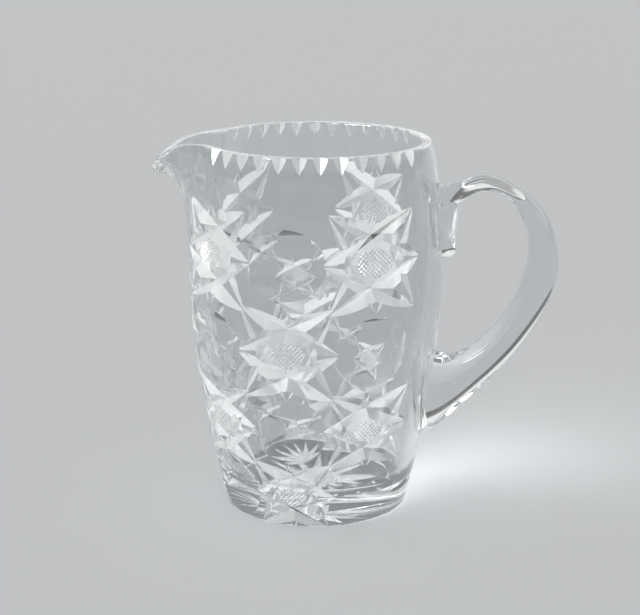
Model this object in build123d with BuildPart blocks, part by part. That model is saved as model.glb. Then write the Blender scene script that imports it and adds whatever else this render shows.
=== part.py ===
from build123d import *
import os
from math import cos, radians, sin

# A cut glass jug: a blown vessel with a lip pulled out of its rim, cut all round with a
# chequer of eight-pointed stars and round hollows, and a solid handle of clear glass
# applied to the back. Millimetres, +Z up. The origin is the centre of the foot, on the
# surface that the jug stands on. The handle is towards +X and the lip towards -X.

# Vessel, outside
jug_height = 190.0
foot_radius = 46.8
foot_bevel = 1.8
shin_radius = 51.6
shin_height = 0.1 * jug_height
waist_radius = 58.9
waist_height = 0.3 * jug_height
belly_radius = 64.6
belly_height = 0.621 * jug_height
shoulder_radius = 63.4
shoulder_height = 0.826 * jug_height
rim_radius = 58.9
rim_bevel = 1.2

# Vessel, inside
floor_thickness = 15.0
floor_corner_round = 12.0
lower_wall = 8.4
belly_wall = 7.6
shoulder_wall = 6.6
rim_wall = 5.4

# Lip, pulled out of the rim: its reach beyond the rim, the throat under it as pairs of
# depth below the rim and reach beyond the wall, and its edge seen from above
lip_overhang = 24.3
lip_depth = 16.8
throat_line = ((64.0, -0.2), (48.0, 1.4), (34.0, 3.8), (25.0, 6.5), (20.0, 11.3))
lip_edge = ((51.0, 26.0), (63.2, 18.0), (76.7, 9.0))
lip_wall = 5.5
lip_floor = 5.2
lip_root_inset = 0.5
lip_narrowing = 0.8
lip_setback = 0.5
dip_start = 48.0
dip_shoulder_reach = 9.0
dip_shoulder_drop = 2.0
dip_drop = 13.0

# Cutting of the wall, in tiles that lie in columns and rows: the rows' edges are shares
# of the jug's height, and the stars' tips overrun their tiles
columns_each_side = 3
column_pitch = 40.0
row_edges = (0.005, 0.184, 0.384, 0.613, 0.853)
star_depth = 2.3
star_slope = 1.25
corner_overrun = 1.08
side_overrun = 1.22
level_overrun = 1.12
hollow_depth = 3.1
hollow_wheel_radius = 58.0
tooth_count = 12
tooth_pitch = 9.6
tooth_height = 8.0
tooth_depth = 1.5
first_tooth_angle = 38.0
tool_clearance = 0.15
tool_lift = 0.5

# Cutting of the foot
foot_star_cuts = 8
foot_star_radius = 40.0
foot_star_depth = 2.2
foot_star_slope = 3.4

# Handle: the place of its ends inside the wall, and the ovals between them, each by the
# reach beyond the belly and the height of its outer edge, the same of its inner edge, and its width
handle_seat = 3.0
handle_foot_edges = (34.8, 81.0)
handle_foot_width = 28.0
handle_top_edges = (167.5, 150.0)
handle_top_width = 18.0
handle_ovals = (
    (-3.6, 38.8, -0.6, 79.4, 26.5),
    (5.6, 46.4, 4.9, 78.7, 23.0),
    (15.9, 56.5, 10.3, 80.2, 20.0),
    (28.4, 69.0, 18.1, 85.2, 18.2),
    (45.8, 92.0, 32.2, 101.0, 17.2),
    (56.4, 113.5, 39.7, 116.5, 17.0),
    (58.5, 131.5, 43.0, 131.0, 17.0),
    (54.6, 147.0, 42.5, 141.8, 16.8),
    (45.8, 159.6, 37.6, 154.8, 16.5),
    (33.2, 168.3, 28.9, 162.7, 16.2),
    (19.5, 173.0, 18.6, 164.0, 16.2),
    (8.0, 169.6, 9.3, 159.2, 16.8),
)

# Tail of the handle, folded down on the wall: height, reach beyond the wall, thickness, width
tail_stations = (
    (130.4, 2.4, 5.0, 9.0),
    (136.5, 1.7, 10.0, 16.4),
    (146.0, 1.5, 11.6, 18.6),
    (156.0, 2.8, 11.2, 18.0),
    (163.0, 6.3, 7.4, 12.0),
)


def line_share(height):
    """How far along the vessel's outer line a height lies."""
    low, high = 0.0, 1.0
    for _ in range(30):
        middle = (low + high) / 2
        if (outer_line @ middle).Y < height:
            low = middle
        else:
            high = middle
    return low


def wall_radius(height):
    """The vessel's outer radius at a height."""
    return (outer_line @ line_share(height)).X


def away(angle):
    """The level direction away from the axis, with its angle counted from the lip."""
    return Vector(-cos(radians(angle)), sin(radians(angle)), 0)


def wall_point(angle, height, proud=0.0):
    """A point on the vessel's outer wall, or a little proud of it."""
    return away(angle) * (wall_radius(height) + proud) + Vector(0, 0, height)


def wall_place(height, depth):
    """A place in the wall over +X, at a depth under its outer face, as X and Z."""
    return (wall_radius(height) - depth, height)


def wall_normal(angle, height):
    """The direction square to the wall and out of it."""
    rise = outer_line % line_share(height)
    return away(angle) * rise.Y - Vector(0, 0, rise.X)


def mitre_cut(start, finish, middle, outward, depth, slope, lift):
    """A V cut that runs from start to finish and is deepest halfway."""
    along = (finish - start).normalized()
    across = outward.cross(along).normalized()
    half_width = (depth + lift) * slope
    with BuildPart(mode=Mode.PRIVATE) as cut:
        with BuildSketch(Plane(origin=middle, x_dir=across, z_dir=along)) as section:
            Polygon((0, -depth), (half_width, lift), (-half_width, lift), align=None)
        loft([Vertex(*start), section.sketch.face(), Vertex(*finish)], ruled=True)
    return cut.part


def wall_cut(start, finish):
    """A mitre cut of a star, between two places that are each an angle and a height."""
    angle, height = (start[0] + finish[0]) / 2, (start[1] + finish[1]) / 2
    run = (wall_point(*finish) - wall_point(*start)).length
    lift = run**2 / (8 * foot_radius)
    return mitre_cut(
        wall_point(*start, proud=tool_clearance),
        wall_point(*finish, proud=tool_clearance),
        wall_point(angle, height),
        wall_normal(angle, height),
        star_depth,
        star_slope,
        lift,
    )


def star_cuts(angle, low, high):
    """A star's eight mitre cuts, each from a corner past the middle of a far side."""
    centre, half_height = (low + high) / 2, (high - low) / 2
    half_angle = column_pitch / 2
    cuts = []
    for across in (-1, 1):
        for up in (-1, 1):
            corner_height = max(centre + up * half_height * corner_overrun, 0.0)
            corner = (angle + across * half_angle * corner_overrun, corner_height)
            side_tip = (angle - across * half_angle * side_overrun, centre)
            level_tip = (angle, max(centre - up * half_height * level_overrun, 0.0))
            cuts.append(wall_cut(corner, side_tip))
            cuts.append(wall_cut(corner, level_tip))
    return cuts


def hollow_cut(angle, low, high):
    """A round hollow, ground by a wheel that is curved up and down and flat across."""
    centre = (low + high) / 2
    outward = wall_normal(angle, centre)
    wheel_centre = wall_point(angle, centre) + outward * (hollow_wheel_radius - hollow_depth)
    wheel_axis = away(angle).cross(Vector(0, 0, 1))
    with BuildPart(Plane(origin=wheel_centre, x_dir=outward, z_dir=wheel_axis), mode=Mode.PRIVATE) as cut:
        Cylinder(hollow_wheel_radius, belly_radius)
    return cut.part


def tooth_cut(angle):
    """One tooth of the rim: a shallow V that starts at its tip and widens towards the rim."""
    tip = wall_point(angle, jug_height - tooth_height, proud=tool_clearance)
    rim = wall_point(angle, jug_height, proud=tool_clearance)
    slope = rim_radius * sin(radians(tooth_pitch / 2)) / tooth_depth
    return mitre_cut(tip, rim * 2 - tip, rim, away(angle), tooth_depth, slope, tool_lift)


def foot_cut(turn):
    """One cut of the star under the foot, right across its middle."""
    end = Vector(cos(radians(turn)), sin(radians(turn)), 0) * foot_star_radius
    down = Vector(0, 0, -1)
    return mitre_cut(-end, end, Vector(0, 0, 0), down, foot_star_depth, foot_star_slope, tool_lift)


def lip_section(height, reach, inset):
    """A level section of the lip: the round wall drawn out towards the lip's full edge."""
    round_radius = wall_radius(height) - inset - lip_root_inset
    share = (reach - round_radius) / (rim_radius + lip_overhang - inset - round_radius)
    side = []
    for edge_x, edge_y in lip_edge:
        y = edge_y - lip_narrowing * inset
        round_x = (round_radius**2 - y**2) ** 0.5
        side.append((-(round_x + share * (edge_x - lip_setback * inset - round_x)), y))
    other_side = [(x, -y) for x, y in reversed(side)]
    with BuildSketch(Plane.XY.offset(height), mode=Mode.PRIVATE) as section:
        with BuildLine():
            edge = Spline(*side, (-reach, 0), *other_side)
            Line(edge @ 1, edge @ 0)
        make_face()
    return section.sketch.face()


def lip_sections(inset=0.0, rise=0.0):
    """The lip's sections from its throat up, or those of the channel inside it."""
    sections = []
    for depth, reach in throat_line:
        height = jug_height - depth
        sections.append(lip_section(height + rise, wall_radius(height) + reach - inset, inset))
    height = jug_height - lip_depth + rise
    sections.append(lip_section(height, rim_radius + lip_overhang - inset, inset))
    return sections


def oval(plane, thickness, width):
    """A smooth oval section of the handle."""
    across, along = thickness / 2, width / 2
    with BuildSketch(plane, mode=Mode.PRIVATE) as section:
        with BuildLine():
            Spline((across, 0), (0, along), (-across, 0), (0, -along), periodic=True)
        make_face()
    return section.sketch.face()


def handle_section(outer_edge, inner_edge, width):
    """An oval of the handle between its outer and its inner edge, each given as X and Z."""
    outer, inner = Vector(outer_edge[0], 0, outer_edge[1]), Vector(inner_edge[0], 0, inner_edge[1])
    thick_way = (outer - inner).normalized()
    plane = Plane(origin=(outer + inner) / 2, x_dir=thick_way, z_dir=thick_way.cross(Vector(0, 1, 0)))
    return oval(plane, (outer - inner).length, width)


def handle_sections():
    """The handle's ovals from its foot in the wall, round the grip, to its top in the wall."""
    foot_outer, foot_inner = [wall_place(height, handle_seat) for height in handle_foot_edges]
    top_outer, top_inner = [wall_place(height, handle_seat) for height in handle_top_edges]
    sections = [handle_section(foot_outer, foot_inner, handle_foot_width)]
    for outer_reach, outer_height, inner_reach, inner_height, width in handle_ovals:
        outer_edge = (belly_radius + outer_reach, outer_height)
        inner_edge = (belly_radius + inner_reach, inner_height)
        sections.append(handle_section(outer_edge, inner_edge, width))
    sections.append(handle_section(top_outer, top_inner, handle_top_width))
    return sections


with BuildLine():
    outer_line = Spline(
        (foot_radius, 0),
        (shin_radius, shin_height),
        (waist_radius, waist_height),
        (belly_radius, belly_height),
        (shoulder_radius, shoulder_height),
        (rim_radius, jug_height),
    )

with BuildPart() as vessel_blank:
    with BuildSketch(Plane.XZ):
        with BuildLine():
            add(outer_line)
            Polyline(outer_line @ 1, (0, jug_height), (0, 0), outer_line @ 0)
        make_face()
    revolve(axis=Axis.Z)
    chamfer(edges().filter_by(GeomType.CIRCLE).sort_by(Axis.Z)[0], foot_bevel)
    chamfer(edges().filter_by(GeomType.CIRCLE).sort_by(Axis.Z)[-1], rim_bevel)

with BuildPart() as lip:
    outer_sections = lip_sections()
    loft(outer_sections)
    extrude(outer_sections[-1], amount=lip_depth)

with BuildPart() as cavity:
    with BuildSketch(Plane.XZ):
        with BuildLine():
            inner_line = Spline(
                (shin_radius - lower_wall, floor_thickness),
                (waist_radius - lower_wall, waist_height),
                (belly_radius - belly_wall, belly_height),
                (shoulder_radius - shoulder_wall, shoulder_height),
                (rim_radius - rim_wall, jug_height),
            )
            Polyline(inner_line @ 1, (0, jug_height), (0, floor_thickness), inner_line @ 0)
        make_face()
    revolve(axis=Axis.Z)
    fillet(edges().filter_by(GeomType.CIRCLE).sort_by(Axis.Z)[0], floor_corner_round)
    channel_sections = lip_sections(inset=lip_wall, rise=lip_floor)
    loft(channel_sections)
    extrude(channel_sections[-1], amount=lip_depth)

with BuildPart() as jug_body:
    add(vessel_blank.part)
    add(lip.part)
    add(cavity.part, mode=Mode.SUBTRACT)
    with BuildSketch(Plane.XZ):
        with BuildLine():
            dip_line = Spline(
                (-dip_start, jug_height),
                (-rim_radius - dip_shoulder_reach, jug_height - dip_shoulder_drop),
                (-rim_radius - lip_overhang, jug_height - dip_drop),
                tangents=((-1, 0), (-1, -1)),
            )
            lower_end = dip_line @ 1 - Vector(lip_wall, lip_wall)
            upper_end = Vector(lower_end.X, jug_height + lip_depth)
            Polyline(dip_line @ 1, lower_end, upper_end, (-dip_start, upper_end.Y), dip_line @ 0)
        make_face()
    extrude(amount=belly_radius, both=True, mode=Mode.SUBTRACT)
    cuts = [foot_cut(ray * 180 / foot_star_cuts) for ray in range(foot_star_cuts)]
    rows = len(row_edges) - 1
    for column in range(-columns_each_side, columns_each_side + 1):
        for row in range(rows):
            angle = column * column_pitch
            low, high = row_edges[row] * jug_height, row_edges[row + 1] * jug_height
            under_lip = column == 0 and row == rows - 1
            by_handle_foot = abs(column) == columns_each_side and row == 0
            if (column + row) % 2 == 0:
                cuts.extend(star_cuts(angle, low, high))
            elif not under_lip and not by_handle_foot:
                cuts.append(hollow_cut(angle, low, high))
    for tooth in range(tooth_count):
        angle = first_tooth_angle + tooth * tooth_pitch
        cuts.append(tooth_cut(angle))
        cuts.append(tooth_cut(-angle))
    add(cuts, mode=Mode.SUBTRACT)

with BuildPart() as handle:
    loft(handle_sections())
    loft(
        [
            oval(Plane((wall_radius(height) + reach, 0, height)), thickness, width)
            for height, reach, thickness, width in tail_stations
        ]
    )
    add(vessel_blank.part, mode=Mode.SUBTRACT)

jug_body.part.label = "jug_body"
handle.part.label = "handle"
os.makedirs("parts", exist_ok=True)
export_step(jug_body.part, "parts/jug_body.step")
export_step(handle.part, "parts/handle.step")
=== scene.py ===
"""The looks of a cut glass jug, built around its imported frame.

Sizes of the glass are millimetres, as a glass cutter would state them, and each finished mesh
is scaled to metres once. The studio and the flow marks of the finishes are in metres. The lip
is towards -X and the handle towards +X, and angles are degrees, counted from the lip.
"""

import logging
from dataclasses import dataclass, field
from enum import Enum
from itertools import pairwise, product
from math import atan2, cos, degrees, hypot, radians, sin, sqrt
from typing import Sequence

import bmesh
import bpy
import numpy
from mathutils import Matrix, Vector


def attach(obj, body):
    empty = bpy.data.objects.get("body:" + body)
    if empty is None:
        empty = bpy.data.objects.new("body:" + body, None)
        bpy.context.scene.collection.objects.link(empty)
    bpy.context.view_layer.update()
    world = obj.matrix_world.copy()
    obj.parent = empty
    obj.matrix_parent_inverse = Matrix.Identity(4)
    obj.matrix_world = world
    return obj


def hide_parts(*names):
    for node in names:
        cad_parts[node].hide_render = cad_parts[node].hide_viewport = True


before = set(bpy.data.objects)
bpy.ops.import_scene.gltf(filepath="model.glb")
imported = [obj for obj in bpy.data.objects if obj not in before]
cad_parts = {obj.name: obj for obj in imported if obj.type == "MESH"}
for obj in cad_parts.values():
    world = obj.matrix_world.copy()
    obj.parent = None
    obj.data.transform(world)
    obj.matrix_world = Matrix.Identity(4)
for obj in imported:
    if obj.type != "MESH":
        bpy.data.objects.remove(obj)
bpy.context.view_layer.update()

log = logging.getLogger("jug")
OUTWARD = Vector((1.0, 0.0, 0.0))
ACROSS = Vector((0.0, 1.0, 0.0))
UP = Vector((0.0, 0.0, 1.0))
METRES = 0.001
# Vertices nearer than this are one, on a spun shape and along the outline of the handle's seat.
SPIN_GAP = 0.001
SEAM_GAP = 0.002

Rows = tuple[tuple[float, ...], ...]
# A tile of the pattern: its angle, and the heights of its lower and upper edge.
Tile = tuple[float, float, float]


class Way(Enum):
    """How a tool's shape acts on a work piece."""

    CUT = "DIFFERENCE"
    JOIN = "UNION"
    SHARE = "INTERSECT"


class Face(Enum):
    """The material index of a glass face.

    CUT is for the wheel cuts and the top of the rim, and GROUND for the underside of the foot.
    """

    OUTSIDE = 0
    SEAT = 1
    CUT = 2
    GROUND = 3


class SmoothLine:
    """A smooth line through a few points, as blown glass takes it."""

    HALVINGS = 30

    def __init__(
        self, points: Sequence[Sequence[float]], stations: Sequence[float] | None = None
    ) -> None:
        """Works out the line's slopes at its points.

        Args:
            points: The points that the line goes through.
            stations: The line's parameter at each point, or None for the distance along them.
        """
        self.points = [Vector(point) for point in points]
        if stations is None:
            stations = [0.0]
            for near, far in pairwise(self.points):
                stations.append(stations[-1] + (far - near).length)
        self.stations = list(stations)
        steps = [far - near for near, far in pairwise(self.stations)]
        rates = [(far - near) / step for (near, far), step in zip(pairwise(self.points), steps)]
        count = len(self.points)
        system = numpy.identity(count)
        right = numpy.zeros((count, len(self.points[0])))
        right[0] = rates[0] - (rates[1] - rates[0]) * (steps[0] / (steps[0] + steps[1]))
        right[-1] = rates[-1] + (rates[-1] - rates[-2]) * (steps[-1] / (steps[-1] + steps[-2]))
        for place in range(1, count - 1):
            before, after = steps[place - 1], steps[place]
            system[place, place - 1 : place + 2] = (after, 2 * (before + after), before)
            right[place] = (rates[place - 1] * after + rates[place] * before) * 3
        self.slopes = [Vector(slope) for slope in numpy.linalg.solve(system, right)]

    @classmethod
    def through(cls, rows: Sequence[Sequence[float]]) -> "SmoothLine":
        """Lays a line through rows whose first number is the parameter."""
        return cls([row[1:] for row in rows], [row[0] for row in rows])

    @property
    def length(self) -> float:
        """The parameter at the line's end."""
        return self.stations[-1]

    def at(self, station: float) -> Vector:
        """Finds a point of the line.

        Args:
            station: The parameter, held to the line's own range.

        Returns:
            The point.
        """
        station = min(max(station, self.stations[0]), self.stations[-1])
        place = 0
        while place < len(self.stations) - 2 and station > self.stations[place + 1]:
            place += 1
        step = self.stations[place + 1] - self.stations[place]
        share = (station - self.stations[place]) / step
        rest = 1 - share
        return (
            self.points[place] * (rest * rest * (1 + 2 * share))
            + self.slopes[place] * (step * share * rest * rest)
            + self.points[place + 1] * (share * share * (3 - 2 * share))
            - self.slopes[place + 1] * (step * share * share * rest)
        )

    def at_height(self, height: float) -> Vector:
        """Finds the point of a rising line at a height.

        Args:
            height: The height, which is the second number of its points.

        Returns:
            The point.
        """
        low, high = self.stations[0], self.stations[-1]
        for _ in range(self.HALVINGS):
            middle = (low + high) / 2
            if self.at(middle).y < height:
                low = middle
            else:
                high = middle
        return self.at(low)


def away(angle: float) -> Vector:
    """The level direction away from the axis, with its angle counted from the lip."""
    return Vector((-cos(radians(angle)), sin(radians(angle)), 0.0))


def levels(start: float, end: float, step: float) -> list[float]:
    """The heights between two heights, about a step apart and without the two."""
    count = round(abs(end - start) / step)
    return [start + (end - start) * row / count for row in range(1, count)]


def quarter_round(size: float, step: int) -> list[tuple[float, float]]:
    """Lists the points of a quarter round.

    Args:
        size: Its radius.
        step: The angle between two points.

    Returns:
        Each point's distance from the side where the round starts and from the one where it ends.
    """
    turns = [radians(turn) for turn in range(0, 91, step)]
    return [(size * (1 - cos(turn)), size * (1 - sin(turn))) for turn in turns]


def new_mesh(name: str, shape: bmesh.types.BMesh) -> bpy.types.Mesh:
    """Turns a worked shape into a mesh.

    Args:
        name: The mesh's name.
        shape: The shape, which is freed.

    Returns:
        The mesh.
    """
    mesh = bpy.data.meshes.new(name)
    shape.to_mesh(mesh)
    shape.free()
    return mesh


def tool_set(name: str, shape: bmesh.types.BMesh, face: Face) -> bpy.types.Mesh:
    """Turns a shape into a set of tools.

    Args:
        name: The set's name.
        shape: The shape, which is freed.
        face: What the glass becomes where the tools cut it.

    Returns:
        The tools' mesh, whose faces point outwards.
    """
    bmesh.ops.recalc_face_normals(shape, faces=shape.faces)
    for side in shape.faces:
        side.material_index = face.value
    return new_mesh(name, shape)


def worked(work: bpy.types.Mesh, tool: bpy.types.Mesh, way: Way) -> bpy.types.Mesh:
    """Works one closed mesh with another.

    Args:
        work: The mesh that is worked.
        tool: The tool's mesh, whose parts don't overlap one another.
        way: What the tool does.

    Returns:
        A new mesh, in which each face keeps its material index.
    """
    blank = bpy.data.objects.new("work", work)
    wheel = bpy.data.objects.new("tool", tool)
    for thing in (blank, wheel):
        bpy.context.scene.collection.objects.link(thing)
    step = blank.modifiers.new("step", "BOOLEAN")
    step.solver = "MANIFOLD"
    step.operation = way.value
    step.object = wheel
    step.material_mode = "INDEX"
    for mesh in (work, tool):
        while len(mesh.materials) < len(Face):
            mesh.materials.append(None)
    depsgraph = bpy.context.evaluated_depsgraph_get()
    made = bpy.data.meshes.new_from_object(blank.evaluated_get(depsgraph))
    for thing in (blank, wheel):
        bpy.data.objects.remove(thing)
    return made


@dataclass(frozen=True)
class CrystalFinish:
    """Crystal glass, with the faint flow marks of glass that was worked by hand.

    Its cloud is the share of the light that it scatters, and its clearness the share that it
    lets through to the floor.
    """

    name: str
    tint: tuple[float, float, float]
    refraction: float = 1.53
    roughness: float = 0.0
    cloud: float = 0.0
    flow_scale: float = 9.0
    flow_stretch: float = 0.12
    flow_detail: float = 2.0
    flow_height: float = 0.00006
    clearness: float = 0.95

    def build(self) -> bpy.types.Material:
        """Makes the material.

        Returns:
            The glass material.
        """
        material = bpy.data.materials.new(self.name)
        material.use_nodes = True
        nodes, links = material.node_tree.nodes, material.node_tree.links
        shader = nodes["Principled BSDF"]
        shader.inputs["Base Color"].default_value = (*self.tint, 1.0)
        shader.inputs["Transmission Weight"].default_value = 1.0 - self.cloud
        shader.inputs["IOR"].default_value = self.refraction
        shader.inputs["Roughness"].default_value = self.roughness
        place = nodes.new("ShaderNodeTexCoord")
        stretch = nodes.new("ShaderNodeMapping")
        stretch.inputs["Scale"].default_value = (1.0, 1.0, self.flow_stretch)
        flow = nodes.new("ShaderNodeTexNoise")
        flow.inputs["Scale"].default_value = self.flow_scale
        flow.inputs["Detail"].default_value = self.flow_detail
        bump = nodes.new("ShaderNodeBump")
        bump.inputs["Distance"].default_value = self.flow_height
        links.new(place.outputs["Object"], stretch.inputs["Vector"])
        links.new(stretch.outputs["Vector"], flow.inputs["Vector"])
        links.new(flow.outputs["Fac"], bump.inputs["Height"])
        links.new(bump.outputs["Normal"], shader.inputs["Normal"])
        path = nodes.new("ShaderNodeLightPath")
        shade = nodes.new("ShaderNodeBsdfTransparent")
        shade.inputs["Color"].default_value = (self.clearness,) * 3 + (1.0,)
        choice = nodes.new("ShaderNodeMixShader")
        links.new(path.outputs["Is Shadow Ray"], choice.inputs["Fac"])
        links.new(shader.outputs["BSDF"], choice.inputs[1])
        links.new(shade.outputs["BSDF"], choice.inputs[2])
        links.new(choice.outputs["Shader"], nodes["Material Output"].inputs["Surface"])
        return material


@dataclass(frozen=True)
class FusedSeat:
    """The seat of the handle, where both glasses are one and light goes straight on."""

    name: str = "fused_seat"

    def build(self) -> bpy.types.Material:
        """Makes the material.

        Returns:
            The see-through material.
        """
        material = bpy.data.materials.new(self.name)
        material.use_nodes = True
        nodes, links = material.node_tree.nodes, material.node_tree.links
        nodes.remove(nodes["Principled BSDF"])
        clear = nodes.new("ShaderNodeBsdfTransparent")
        links.new(clear.outputs[0], nodes["Material Output"].inputs["Surface"])
        return material


@dataclass
class Lip:
    """The pouring lip, pulled out of the soft rim."""

    # The angle, and the share of the pull there.
    spread: Rows = (
        (0.0, 1.0),
        (3.4, 0.93),
        (6.7, 0.75),
        (10.0, 0.54),
        (15.9, 0.28),
        (20.0, 0.13),
        (25.0, 0.03),
        (29.0, 0.0),
    )
    # The height, and how far the outside of the wall is pulled out and up there.
    outside_pull: Rows = (
        (126.0, 0.0, 0.0),
        (142.0, 1.4, 0.0),
        (156.0, 3.8, 0.0),
        (169.0, 7.0, -4.0),
        (175.5, 12.0, -5.5),
        (181.0, 17.6, -9.2),
        (186.0, 23.35, -13.0),
        (190.0, 24.15, -13.0),
    )
    # The same for the inside of the wall.
    inside_pull: Rows = (
        (126.0, 0.0, 0.0),
        (140.0, 1.0, 0.0),
        (157.0, 3.7, 0.0),
        (165.0, 6.5, 0.5),
        (172.0, 10.8, -1.0),
        (180.0, 16.7, -4.0),
        (190.0, 25.0, -11.5),
    )
    drop_power: float = 2.6

    def __post_init__(self) -> None:
        """Lays the smooth lines through the measured points."""
        shares = [(angle, share, share) for angle, share in self.spread]
        self.spread_line = SmoothLine.through(shares)
        self.outside_line = SmoothLine.through(self.outside_pull)
        self.inside_line = SmoothLine.through(self.inside_pull)

    def pulled(self, place: Vector, depth: float) -> Vector:
        """Moves a point of the round wall with the pulled glass.

        Args:
            place: The point on the round vessel.
            depth: How far through the wall it lies, from 0 outside to 1 inside.

        Returns:
            The point on the pulled vessel.
        """
        angle = abs(degrees(atan2(place.y, -place.x)))
        if angle >= self.spread[-1][0] or place.z <= self.outside_pull[0][0]:
            return place
        share = min(max(self.spread_line.at(angle).x, 0.0), 1.0)
        pull = self.outside_line.at(place.z).lerp(self.inside_line.at(place.z), depth)
        outward = Vector((place.x, place.y, 0.0)).normalized()
        return place + outward * (pull.x * share) + UP * (pull.y * share**self.drop_power)


@dataclass
class Cutting:
    """The wheel cutting of the wall, the rim and the foot.

    A slope is half a cut's width for each millimetre of its depth. An overrun is a cut's reach
    from the middle of its tile, in half tiles. Proud is how far the tips of a tool stand off
    the glass, and a lift how far its back does.
    """

    columns_each_side: int = 3
    column_pitch: float = 40.0
    tile_edges: tuple[float, ...] = (0.95, 34.96, 72.96, 116.47, 162.07)
    rays: int = 8
    star_depth: float = 2.3
    star_slope: float = 1.25
    corner_overrun: float = 1.08
    side_overrun: float = 1.22
    level_overrun: float = 1.12
    star_proud: float = 0.15
    hollow_depth: float = 3.1
    hollow_wheel: float = 58.0
    hollow_wheel_width: float = 52.0
    hollow_wheel_sides: int = 200
    tooth_count: int = 12
    tooth_pitch: float = 9.6
    tooth_height: float = 8.0
    tooth_depth: float = 2.9
    tooth_proud: float = 0.05
    tooth_lift: float = 0.4
    first_tooth: float = 38.0
    hatch_pitch: float = 1.7
    hatch_width: float = 1.15
    hatch_depth: float = 0.65
    hatch_overlap: float = 1.1
    hatch_lift: float = 0.25
    hatch_bends: int = 2
    foot_radius: float = 40.0
    foot_depth: float = 1.0
    foot_slope: float = 4.0
    foot_lift: float = 0.5

    @property
    def rows(self) -> int:
        """How many rows of tiles there are."""
        return len(self.tile_edges) - 1

    def tiles(self) -> list[tuple[int, int, Tile]]:
        """Lists the tiles of the pattern.

        Returns:
            The column and the row of each, and the tile.
        """
        return [
            (column, row, (column * self.column_pitch, *edges))
            for column in range(-self.columns_each_side, self.columns_each_side + 1)
            for row, edges in enumerate(pairwise(self.tile_edges))
        ]

    def stars(self) -> list[Tile]:
        """The tiles that have a star."""
        return [tile for column, row, tile in self.tiles() if (column + row) % 2 == 0]

    def hollows(self, wanted_row: int) -> list[Tile]:
        """Lists the tiles of a row that have a hollow.

        Args:
            wanted_row: The row.

        Returns:
            The tiles, without the ones under the lip and by the handle's foot.
        """
        found = []
        for column, row, tile in self.tiles():
            under_lip = column == 0 and row == self.rows - 1
            by_handle_foot = abs(column) == self.columns_each_side and row == 0
            if row == wanted_row and (column + row) % 2 and not under_lip and not by_handle_foot:
                found.append(tile)
        return found


def mitre(
    shape: bmesh.types.BMesh,
    start: Vector,
    finish: Vector,
    middle: Vector,
    outward: Vector,
    depth: float,
    slope: float,
    lift: float,
) -> None:
    """Adds the tool of a V cut that is deepest halfway.

    Args:
        shape: The shape that gets it.
        start: One tip of the cut.
        finish: Its other tip.
        middle: The point on the surface halfway.
        outward: The direction out of the glass there.
        depth: The cut's depth halfway.
        slope: Half its width for each millimetre of depth.
        lift: How far the tool stands proud of the surface.
    """
    across = outward.cross((finish - start).normalized()).normalized()
    side = across * ((depth + lift) * slope)
    back = middle + outward * lift
    corners = (start, finish, middle - outward * depth, back + side, back - side)
    bmesh.ops.convex_hull(shape, input=[shape.verts.new(corner) for corner in corners])


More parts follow.
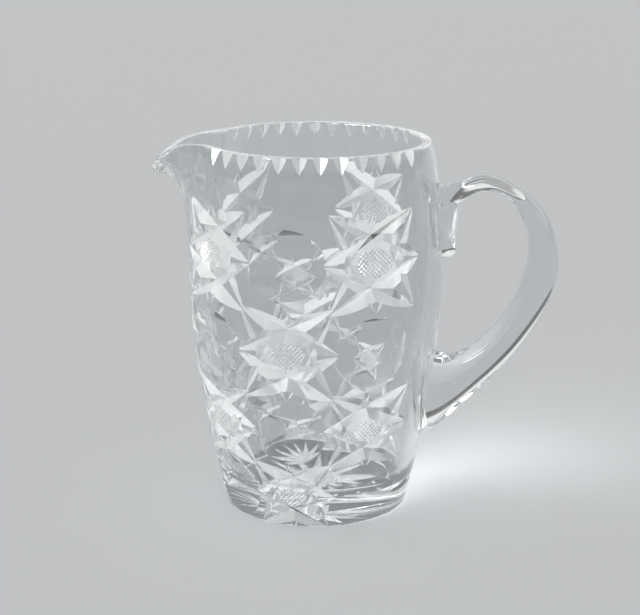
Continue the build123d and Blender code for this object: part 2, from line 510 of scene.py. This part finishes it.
@dataclass
class Vessel:
    """The blown body of the jug, with its lip, its cutting and the seat of the handle."""

    height: float = 190.0
    # The radius and the height of points on the wall.
    outer_points: Rows = (
        (46.8, 0.0),
        (51.6, 19.0),
        (58.9, 57.0),
        (64.55, 118.0),
        (63.4, 157.0),
        (58.9, 190.0),
    )
    inner_points: Rows = ((43.2, 15.0), (50.5, 57.0), (57.0, 118.0), (56.8, 157.0), (53.5, 190.0))
    floor: float = 15.0
    floor_round: float = 12.0
    foot_round: float = 1.8
    rim_round: float = 1.5
    # How finely the section is divided: radii, millimetres of height and degrees of a round.
    foot_rings: tuple[float, ...] = (0.0, 22.0, 40.0)
    floor_rings: tuple[float, ...] = (22.0, 10.0, 0.0)
    outer_step: float = 2.4
    inner_step: float = 3.0
    edge_turn: int = 18
    floor_turn: int = 10
    segments: int = 288
    # The wall's slope is taken this far above and below a point.
    slope_reach: float = 0.5
    # Shares of the rounds up to which the foot is ground and down to which the rim is cut.
    ground_share: float = 0.1
    rim_share: float = 0.3
    lip: Lip = field(default_factory=Lip)
    cutting: Cutting = field(default_factory=Cutting)

    def __post_init__(self) -> None:
        """Lays the outer and the inner line of the wall."""
        self.outer = SmoothLine(self.outer_points)
        self.inner = SmoothLine(self.inner_points)

    def wall_point(self, angle: float, height: float, proud: float = 0.0) -> Vector:
        """A point on the outer wall, or a little proud of it."""
        return away(angle) * (self.outer.at_height(height).x + proud) + UP * height

    def wall_normal(self, angle: float, height: float) -> Vector:
        """The direction square to the wall and out of it."""
        above = self.outer.at_height(min(height + self.slope_reach, self.height))
        rise = above - self.outer.at_height(max(height - self.slope_reach, 0.0))
        return (away(angle) * rise.y - UP * rise.x).normalized()

    def section(self) -> list[tuple[float, float]]:
        """Draws half of the vessel's section.

        Returns:
            Its points as radius and height, from the foot's middle round the wall to the floor's.
        """
        top, shoulder = self.height, self.height - self.rim_round
        corner = self.floor + self.floor_round
        foot_radius = self.outer.at_height(self.foot_round).x
        corner_radius = self.inner.at_height(corner).x
        rim_outside, rim_inside = self.outer_points[-1][0], self.inner_points[-1][0]
        foot_edge = quarter_round(self.foot_round, self.edge_turn)
        rim_edge = quarter_round(self.rim_round, self.edge_turn)
        line = [(radius, 0.0) for radius in self.foot_rings]
        line += [(foot_radius - back, rise) for rise, back in foot_edge]
        for height in levels(self.foot_round, shoulder, self.outer_step):
            line.append((self.outer.at_height(height).x, height))
        line += [(rim_outside - back, top - drop) for back, drop in rim_edge]
        line.append(((rim_outside + rim_inside) / 2, top))
        line += [(rim_inside + back, top - drop) for back, drop in reversed(rim_edge)]
        for height in levels(shoulder, corner, self.inner_step):
            line.append((self.inner.at_height(height).x, height))
        for back, drop in quarter_round(self.floor_round, self.floor_turn):
            line.append((corner_radius - back, self.floor + drop))
        line += [(radius, self.floor) for radius in self.floor_rings]
        return line

    def blank(self) -> bpy.types.Mesh:
        """Spins the vessel and pulls its lip.

        Returns:
            The uncut vessel.
        """
        shape = bmesh.new()
        line = [shape.verts.new((-radius, 0.0, height)) for radius, height in self.section()]
        edges = [shape.edges.new(pair) for pair in pairwise(line)]
        bmesh.ops.spin(
            shape,
            geom=line + edges,
            cent=(0.0, 0.0, 0.0),
            axis=UP,
            angle=radians(360.0),
            steps=self.segments,
            use_merge=True,
        )
        bmesh.ops.remove_doubles(shape, verts=shape.verts, dist=SPIN_GAP)
        bmesh.ops.recalc_face_normals(shape, faces=shape.faces)
        for face in shape.faces:
            height = face.calc_center_median().z
            if height < self.ground_share * self.foot_round:
                face.material_index = Face.GROUND.value
            elif height > self.height - self.rim_share * self.rim_round:
                face.material_index = Face.CUT.value
        for vertex in shape.verts:
            radius = hypot(vertex.co.x, vertex.co.y)
            outside = self.outer.at_height(vertex.co.z).x
            inside = self.inner.at_height(vertex.co.z).x
            depth = min(max((outside - radius) / (outside - inside), 0.0), 1.0)
            vertex.co = self.lip.pulled(vertex.co.copy(), depth)
        return new_mesh("blank", shape)

    def star_line(self, shape: bmesh.types.BMesh, star: Tile, line: int) -> None:
        """Adds the tool of one of a star's eight cuts, from a corner of its tile past a far side.

        Args:
            shape: The shape that gets it.
            star: The star's tile.
            line: Which of its cuts. Its last two bits choose the corner and the next the side.
        """
        angle, low, high = star
        cut = self.cutting
        across, up = (-1 if line & 1 else 1), (-1 if line & 2 else 1)
        centre, half_height, half_angle = (low + high) / 2, (high - low) / 2, cut.column_pitch / 2
        corner_height = max(centre + up * half_height * cut.corner_overrun, 0.0)
        start = (angle + across * half_angle * cut.corner_overrun, corner_height)
        if line & 4:
            finish = (angle - across * half_angle * cut.side_overrun, centre)
        else:
            finish = (angle, max(centre - up * half_height * cut.level_overrun, 0.0))
        halfway = ((start[0] + finish[0]) / 2, (start[1] + finish[1]) / 2)
        run = (self.wall_point(*finish) - self.wall_point(*start)).length
        # The wall bulges out between the tips by no more than it does at its narrowest.
        bulge = run**2 / (8 * self.outer_points[0][0])
        mitre(
            shape,
            self.wall_point(*start, proud=cut.star_proud),
            self.wall_point(*finish, proud=cut.star_proud),
            self.wall_point(*halfway),
            self.wall_normal(*halfway),
            cut.star_depth,
            cut.star_slope,
            bulge,
        )

    def foot_ray(self, shape: bmesh.types.BMesh, ray: int) -> None:
        """Adds the tool of one cut of the star under the foot.

        Args:
            shape: The shape that gets it.
            ray: Which of its cuts.
        """
        cut = self.cutting
        end = away(ray * 180.0 / cut.rays) * cut.foot_radius
        mitre(shape, -end, end, Vector(), -UP, cut.foot_depth, cut.foot_slope, cut.foot_lift)

    def hollow(self, shape: bmesh.types.BMesh, tile: Tile) -> None:
        """Adds the wheel that grinds a round hollow.

        Args:
            shape: The shape that gets it.
            tile: The hollow's tile.
        """
        angle, low, high = tile
        cut = self.cutting
        centre = (low + high) / 2
        outward = self.wall_normal(angle, centre)
        hub = self.wall_point(angle, centre) + outward * (cut.hollow_wheel - cut.hollow_depth)
        axle = away(angle).cross(UP)
        turn = Matrix((outward, axle.cross(outward), axle)).transposed().to_4x4()
        bmesh.ops.create_cone(
            shape,
            cap_ends=True,
            segments=cut.hollow_wheel_sides,
            radius1=cut.hollow_wheel,
            radius2=cut.hollow_wheel,
            depth=cut.hollow_wheel_width,
            matrix=Matrix.Translation(hub) @ turn,
        )

    def tooth(self, shape: bmesh.types.BMesh, angle: float) -> None:
        """Adds the tool of one tooth of the rim.

        Args:
            shape: The shape that gets it.
            angle: The tooth's angle from the lip.
        """
        cut = self.cutting
        tip = self.wall_point(angle, self.height - cut.tooth_height, proud=cut.tooth_proud)
        rim = self.wall_point(angle, self.height, proud=cut.tooth_proud)
        half_width = self.outer_points[-1][0] * sin(radians(cut.tooth_pitch / 2))
        slope = half_width / cut.tooth_depth
        mitre(shape, tip, rim * 2 - tip, rim, away(angle), cut.tooth_depth, slope, cut.tooth_lift)

    def hatch_reach(self, star: Tile) -> float:
        """Works out how far the hatching of a star reaches.

        Args:
            star: The star's tile.

        Returns:
            The distance from the star's middle to the near edges of its cuts, and the overlap.
        """
        _, low, high = star
        cut = self.cutting
        half_turn = self.outer.at_height((low + high) / 2).x * radians(cut.column_pitch / 2)
        rise = (high - low) / 2 * cut.corner_overrun
        run = half_turn * (cut.corner_overrun + cut.side_overrun)
        line_distance = rise * half_turn * cut.side_overrun / hypot(rise, run)
        return line_distance - cut.star_depth * cut.star_slope + cut.hatch_overlap

    def hatching(self, shape: bmesh.types.BMesh, star: Tile, lean: int, odd: int) -> None:
        """Adds every second groove of the fine hatching on a star's middle.

        The grooves are three-sided bars along Z, which are bent a few times on the way to
        follow the wall that they are then laid on.

        Args:
            shape: The shape that gets them.
            star: The star's tile.
            lean: 1 or -1, the way that the grooves lean.
            odd: 0 or 1, which of the grooves.
        """
        angle, low, high = star
        cut = self.cutting
        centre = (low + high) / 2
        radius = self.outer.at_height(centre).x
        half_width = cut.hatch_width / 2 * (cut.hatch_depth + cut.hatch_lift) / cut.hatch_depth
        hatch_reach = self.hatch_reach(star)
        grooves = int(hatch_reach / cut.hatch_pitch)
        strip = bmesh.new()
        for groove in range(-grooves, grooves + 1):
            if (groove + odd) % 2:
                continue
            offset = groove * cut.hatch_pitch
            length = 2 * sqrt(hatch_reach**2 - offset**2)
            bar = bmesh.ops.create_cone(
                strip, cap_ends=True, segments=3, radius1=1.0, radius2=1.0, depth=length
            )
            for vert in bar["verts"]:
                if vert.co.y > 0:
                    vert.co = (offset, -cut.hatch_depth, vert.co.z)
                else:
                    side = half_width if vert.co.x > 0 else -half_width
                    vert.co = (offset + side, cut.hatch_lift, vert.co.z)
        for bend in range(-cut.hatch_bends, cut.hatch_bends + 1):
            bmesh.ops.bisect_plane(
                strip,
                geom=strip.verts[:] + strip.edges[:] + strip.faces[:],
                plane_co=(0.0, 0.0, bend * hatch_reach / (cut.hatch_bends + 1)),
                plane_no=UP,
            )
        for vert in strip.verts:
            level = (vert.co.z - lean * vert.co.x) / sqrt(2)
            rise = (lean * vert.co.z + vert.co.x) / sqrt(2)
            place = (angle + degrees(level / radius), centre + rise)
            vert.co = self.wall_point(*place) + self.wall_normal(*place) * vert.co.y
        mesh = new_mesh("strip", strip)
        shape.from_mesh(mesh)
        bpy.data.meshes.remove(mesh)

    def tools(self) -> list[bpy.types.Mesh]:
        """Makes the cutting tools, in sets whose tools don't overlap.

        Returns:
            The sets, in the order of their work.
        """
        cut = self.cutting
        sets = []
        for row in range(cut.rows):
            shape = bmesh.new()
            for tile in cut.hollows(row):
                self.hollow(shape, tile)
            sets.append(tool_set(f"hollows_{row}", shape, Face.OUTSIDE))
        for lean, odd in product((-1, 1), (0, 1)):
            shape = bmesh.new()
            for star in cut.stars():
                self.hatching(shape, star, lean, odd)
            sets.append(tool_set(f"hatching_{lean}_{odd}", shape, Face.CUT))
        for line in range(cut.rays):
            shape = bmesh.new()
            for star in cut.stars():
                self.star_line(shape, star, line)
            self.foot_ray(shape, line)
            sets.append(tool_set(f"stars_{line}", shape, Face.CUT))
        for odd in (0, 1):
            shape = bmesh.new()
            for tooth, way in product(range(odd, cut.tooth_count, 2), (-1, 1)):
                self.tooth(shape, way * (cut.first_tooth + tooth * cut.tooth_pitch))
            sets.append(tool_set(f"teeth_{odd}", shape, Face.CUT))
        return sets

    def cut(self, blank: bpy.types.Mesh) -> bpy.types.Mesh:
        """Cuts the pattern into the vessel.

        Args:
            blank: The uncut vessel.

        Returns:
            The cut vessel.
        """
        work = blank
        for tool in self.tools():
            work = worked(work, tool, Way.CUT)
            log.info("%s leaves %d faces", tool.name, len(work.polygons))
        return work


@dataclass
class Handle:
    """The applied handle: a drawn loop, its foot spread on the wall and its tail folded down."""

    # How deep the ends go into the wall before they are cut off along it.
    seat: float = 3.0
    # The radius that the ovals are measured from.
    belly: float = 64.5
    # The heights at which an end's outer and inner edge meet the wall, and its width.
    foot: tuple[float, float, float] = (34.8, 81.0, 28.0)
    top: tuple[float, float, float] = (167.5, 150.0, 18.0)
    # The outer edge's place past the belly and its height, the inner edge's, and the width.
    ovals: Rows = (
        (-3.6, 38.8, -0.6, 79.4, 26.5),
        (5.6, 46.4, 4.9, 78.7, 23.0),
        (15.9, 56.5, 10.3, 80.2, 20.0),
        (28.4, 69.0, 18.1, 85.2, 18.2),
        (45.8, 92.0, 32.2, 101.0, 17.2),
        (56.4, 113.5, 39.7, 116.5, 17.0),
        (58.5, 131.5, 43.0, 131.0, 17.0),
        (54.6, 147.0, 42.5, 141.8, 16.8),
        (45.8, 159.6, 37.6, 154.8, 16.5),
        (33.2, 168.3, 28.9, 162.7, 16.2),
        (19.5, 173.0, 18.6, 164.0, 16.2),
        (8.0, 169.6, 9.3, 159.2, 16.8),
    )
    # The height, the middle's distance from the wall, the thickness and the width.
    tail: Rows = (
        (129.4, 2.2, 1.6, 4.0),
        (130.4, 2.3, 5.0, 9.0),
        (136.5, 1.7, 10.0, 16.4),
        (146.0, 1.5, 11.6, 18.6),
        (156.0, 2.8, 11.2, 18.0),
        (163.0, 6.3, 7.4, 12.0),
    )
    rings: int = 110
    tail_rings: int = 24
    segments: int = 56
    melt: float = 0.7
    melt_rounds: int = 6
    melt_share: float = 0.5

    def tube(self, planes: Sequence[tuple[Vector, Vector, float, float]]) -> bpy.types.Mesh:
        """Bridges ovals into a closed tube.

        Args:
            planes: Each oval's middle, the direction of its thickness, its thickness and its width.

        Returns:
            The tube's mesh.
        """
        shape = bmesh.new()
        last = None
        for middle, thick_way, thickness, width in planes:
            axes = (thick_way * thickness / 2, ACROSS * width / 2, thick_way.cross(ACROSS))
            place = Matrix.Translation(middle) @ Matrix(axes).transposed().to_4x4()
            ring = bmesh.ops.create_circle(
                shape, cap_ends=False, segments=self.segments, radius=1.0, matrix=place
            )
            edges = list({edge for vert in ring["verts"] for edge in vert.link_edges})
            if last is None:
                bmesh.ops.contextual_create(shape, geom=edges)
            else:
                bmesh.ops.bridge_loops(shape, edges=last + edges)
            last = edges
        bmesh.ops.contextual_create(shape, geom=last)
        bmesh.ops.recalc_face_normals(shape, faces=shape.faces)
        return new_mesh("tube", shape)

    def in_wall(self, vessel: Vessel, end: tuple[float, float, float]) -> Vector:
        """Sinks an end of the loop into the wall.

        Args:
            vessel: The vessel that carries it.
            end: The heights of its outer and inner edge, and its width.

        Returns:
            The outer edge's radius and height, the inner edge's, and the width.
        """
        outer, inner, width = end
        radii = [vessel.outer.at_height(height).x - self.seat for height in (outer, inner)]
        return Vector((radii[0], outer, radii[1], inner, width))

    def loop(self, vessel: Vessel) -> bpy.types.Mesh:
        """Draws the loop.

        Args:
            vessel: The vessel that carries it.

        Returns:
            The loop's closed mesh, whose ends are inside the wall.
        """
        rows = [self.in_wall(vessel, self.foot)]
        rows.extend(
            Vector((self.belly + outer, outer_height, self.belly + inner, inner_height, width))
            for outer, outer_height, inner, inner_height, width in self.ovals
        )
        rows.append(self.in_wall(vessel, self.top))
        stations = [0.0]
        for near, far in pairwise(rows):
            step = far - near
            stations.append(stations[-1] + hypot(step[0] + step[2], step[1] + step[3]) / 2)
        line = SmoothLine(rows, stations)
        planes = []
        for ring in range(self.rings + 1):
            outer_x, outer_z, inner_x, inner_z, width = line.at(line.length * ring / self.rings)
            thick_way = Vector((outer_x - inner_x, 0.0, outer_z - inner_z))
            middle = Vector((outer_x + inner_x, 0.0, outer_z + inner_z)) / 2
            planes.append((middle, thick_way.normalized(), thick_way.length, width))
        return self.tube(planes)

    def folded_tail(self, vessel: Vessel) -> bpy.types.Mesh:
        """Folds the tail down on the wall.

        Args:
            vessel: The vessel that it lies on.

        Returns:
            The tail's closed mesh.
        """
        size = SmoothLine.through(self.tail)
        low, high = self.tail[0][0], self.tail[-1][0]
        planes = []
        for ring in range(self.tail_rings + 1):
            height = low + (high - low) * ring / self.tail_rings
            reach, thickness, width = size.at(height)
            middle = Vector((vessel.outer.at_height(height).x + reach, 0.0, height))
            planes.append((middle, OUTWARD, thickness, width))
        return self.tube(planes)

    def melted(self, mesh: bpy.types.Mesh) -> bpy.types.Mesh:
        """Rounds the joint of the loop and the tail, as hot glass flows together.

        Args:
            mesh: The joined mesh.

        Returns:
            The rounded mesh.
        """
        thing = bpy.data.objects.new("melt", mesh)
        bpy.context.scene.collection.objects.link(thing)
        remesh = thing.modifiers.new("melt", "REMESH")
        remesh.mode = "VOXEL"
        remesh.voxel_size = self.melt
        depsgraph = bpy.context.evaluated_depsgraph_get()
        made = bpy.data.meshes.new_from_object(thing.evaluated_get(depsgraph))
        bpy.data.objects.remove(thing)
        shape = bmesh.new()
        shape.from_mesh(made)
        for _ in range(self.melt_rounds):
            bmesh.ops.smooth_vert(
                shape,
                verts=shape.verts,
                factor=self.melt_share,
                use_axis_x=True,
                use_axis_y=True,
                use_axis_z=True,
            )
        return new_mesh("melted", shape)

    def raw(self, vessel: Vessel) -> bpy.types.Mesh:
        """Joins the loop and the tail, before they are seated.

        Args:
            vessel: The vessel that carries them.

        Returns:
            The closed mesh, which reaches into the wall.
        """
        return self.melted(worked(self.loop(vessel), self.folded_tail(vessel), Way.JOIN))


def marked(mesh: bpy.types.Mesh, face: Face) -> bpy.types.Mesh:
    """Copies a mesh with one material index on all its faces.

    Args:
        mesh: The mesh.
        face: The index that the copy's faces get.

    Returns:
        The copy.
    """
    copy = mesh.copy()
    copy.polygons.foreach_set("material_index", [face.value] * len(copy.polygons))
    return copy


def imprinted(blank: bpy.types.Mesh, handle: bpy.types.Mesh) -> bpy.types.Mesh:
    """Splits the vessel's faces along the handle's outline and marks those under it.

    Args:
        blank: The vessel.
        handle: The raw handle.

    Returns:
        The vessel with the handle's seat marked.
    """
    stranger = marked(handle, Face.SEAT)
    shape = bmesh.new()
    for way in (Way.JOIN, Way.SHARE):
        half = worked(blank, stranger, way)
        part = bmesh.new()
        part.from_mesh(half)
        handle_faces = [face for face in part.faces if face.material_index == Face.SEAT.value]
        bmesh.ops.delete(part, geom=handle_faces, context="FACES")
        if way is Way.SHARE:
            for face in part.faces:
                face.material_index = Face.SEAT.value
        shape.from_mesh(new_mesh("half", part))
    bmesh.ops.remove_doubles(shape, verts=shape.verts, dist=SEAM_GAP)
    loose = sum(1 for edge in shape.edges if not edge.is_manifold)
    log.info("the seat's outline leaves %d open edges", loose)
    return new_mesh("imprinted", shape)


def finished(
    mesh: bpy.types.Mesh, name: str, materials: Sequence[bpy.types.Material], crease: float
) -> bpy.types.Object:
    """Makes a piece of a worked mesh.

    Args:
        mesh: The mesh, in millimetres.
        name: The piece's name.
        materials: The materials of its faces, by index.
        crease: The angle in degrees past which an edge is sharp.

    Returns:
        The piece, in metres.
    """
    mesh.name = name
    mesh.transform(Matrix.Scale(METRES, 4))
    # Clearing the materials sets every face's index to 0, so the indices are put back.
    indices = [face.material_index for face in mesh.polygons]
    mesh.materials.clear()
    for material in materials:
        mesh.materials.append(material)
    mesh.polygons.foreach_set("material_index", indices)
    mesh.validate()
    mesh.shade_smooth()
    mesh.set_sharp_from_angle(angle=radians(crease))
    piece = bpy.data.objects.new(name, mesh)
    bpy.context.scene.collection.objects.link(piece)
    mesh.calc_loop_triangles()
    log.info("%s has %d triangles", name, len(mesh.loop_triangles))
    return piece


@dataclass
class Jug:
    """The whole jug: the cut vessel and its handle."""

    vessel: Vessel = field(default_factory=Vessel)
    handle: Handle = field(default_factory=Handle)
    body_finish: CrystalFinish = CrystalFinish("blown_crystal", tint=(0.85, 0.868, 0.875))
    cut_finish: CrystalFinish = CrystalFinish(
        "cut_crystal", tint=(0.92, 0.93, 0.935), roughness=0.08, cloud=0.28
    )
    ground_finish: CrystalFinish = CrystalFinish(
        "ground_crystal", tint=(0.96, 0.97, 0.975), roughness=0.35, cloud=0.92
    )
    handle_finish: CrystalFinish = CrystalFinish(
        "drawn_crystal", tint=(0.85, 0.868, 0.875), flow_scale=14.0, flow_stretch=0.3
    )
    # The angles past which an edge of the cut body and of the melted handle is sharp.
    body_crease: float = 7.0
    handle_crease: float = 40.0

    def build(self) -> None:
        """Builds both pieces and sets them in the frame."""
        blank = self.vessel.blank()
        raw_handle = self.handle.raw(self.vessel)
        seat = FusedSeat().build()
        handle = worked(marked(raw_handle, Face.OUTSIDE), marked(blank, Face.SEAT), Way.CUT)
        body = self.vessel.cut(imprinted(blank, raw_handle))
        body_materials = (
            self.body_finish.build(),
            seat,
            self.cut_finish.build(),
            self.ground_finish.build(),
        )
        handle_materials = (self.handle_finish.build(), seat)
        body_piece = finished(body, "cut_vessel", body_materials, self.body_crease)
        handle_piece = finished(handle, "applied_handle", handle_materials, self.handle_crease)
        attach(body_piece, "root")
        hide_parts("jug_body")
        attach(handle_piece, "root")
        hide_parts("handle")


@dataclass
class Studio:
    """The pale floor, the soft lamp, the room and the camera."""

    floor_colour: tuple[float, float, float] = (0.45, 0.46, 0.47)
    floor_roughness: float = 0.9
    floor_size: float = 30.0
    camera_place: tuple[float, float, float] = (0.0505, -0.8257, 0.3260)
    camera_aim: tuple[float, float, float] = (0.00214, 0.00013, 0.1022)
    # The lens and the sensor's width are millimetres.
    lens: float = 93.6
    sensor: float = 36.0
    # How high a way points, from level to straight up, and the room's brightness there.
    room: Rows = (
        (0.0, 0.24),
        (0.04, 0.15),
        (0.12, 0.19),
        (0.2, 1.05),
        (0.45, 0.86),
        (0.55, 0.48),
        (1.0, 0.48),
    )
    lamp_way: tuple[float, float, float] = (0.9, 0.7, -1.0)
    lamp_spread: float = 25.0
    lamp_level: float = 2.7
    light_turns: int = 24

    def floor(self) -> None:
        """Lays the floor."""
        shape = bmesh.new()
        bmesh.ops.create_grid(shape, x_segments=1, y_segments=1, size=self.floor_size / 2)
        mesh = new_mesh("floor", shape)
        material = bpy.data.materials.new("pale_floor")
        material.use_nodes = True
        shader = material.node_tree.nodes["Principled BSDF"]
        shader.inputs["Base Color"].default_value = (*self.floor_colour, 1.0)
        shader.inputs["Roughness"].default_value = self.floor_roughness
        mesh.materials.append(material)
        floor = bpy.data.objects.new("floor", mesh)
        bpy.context.scene.collection.objects.link(floor)

    def lamp(self) -> None:
        """Hangs one broad lamp far off in front, to the left, so that the floor is lit evenly."""
        data = bpy.data.lights.new("key", "SUN")
        data.angle = radians(self.lamp_spread)
        data.energy = self.lamp_level
        lamp = bpy.data.objects.new("key", data)
        lamp.rotation_euler = Vector(self.lamp_way).to_track_quat("-Z", "Y").to_euler()
        bpy.context.scene.collection.objects.link(lamp)

    def world(self) -> None:
        """Makes the room: dark along the floor, pale above that and grey overhead."""
        world = bpy.data.worlds.new("room")
        bpy.context.scene.world = world
        world.use_nodes = True
        nodes, links = world.node_tree.nodes, world.node_tree.links
        back = nodes["Background"]
        place = nodes.new("ShaderNodeTexCoord")
        split = nodes.new("ShaderNodeSeparateXYZ")
        ramp = nodes.new("ShaderNodeValToRGB")
        links.new(place.outputs["Generated"], split.inputs[0])
        links.new(split.outputs["Z"], ramp.inputs["Fac"])
        links.new(ramp.outputs["Color"], back.inputs["Color"])
        # A new stop can start anywhere, because each gets its place below.
        while len(ramp.color_ramp.elements) < len(self.room):
            ramp.color_ramp.elements.new(0.5)
        for stop, (rise, level) in zip(ramp.color_ramp.elements, self.room):
            stop.position = rise
            stop.color = (level, level, level, 1.0)

    def camera(self) -> None:
        """Sets the camera at the photograph's angle."""
        data = bpy.data.cameras.new("camera")
        data.sensor_width = self.sensor
        data.lens = self.lens
        camera = bpy.data.objects.new("camera", data)
        camera.location = self.camera_place
        line = Vector(self.camera_aim) - Vector(self.camera_place)
        camera.rotation_euler = line.to_track_quat("-Z", "Y").to_euler()
        bpy.context.scene.collection.objects.link(camera)
        bpy.context.scene.camera = camera

    def light_paths(self) -> None:
        """Lets light turn often enough inside the facets, which would be black otherwise."""
        paths = bpy.context.scene.cycles
        paths.max_bounces = self.light_turns
        paths.glossy_bounces = self.light_turns
        paths.transmission_bounces = self.light_turns

    def build(self) -> None:
        """Builds the studio."""
        self.floor()
        self.world()
        self.lamp()
        self.camera()
        self.light_paths()
        bpy.context.scene.view_settings.view_transform = "Standard"


def main() -> None:
    """Builds the studio and the jug."""
    logging.basicConfig(level=logging.INFO, format="%(name)s: %(message)s")
    Studio().build()
    log.info("studio built")
    Jug().build()
    log.info("jug built")


if __name__ == "__main__":
    main()
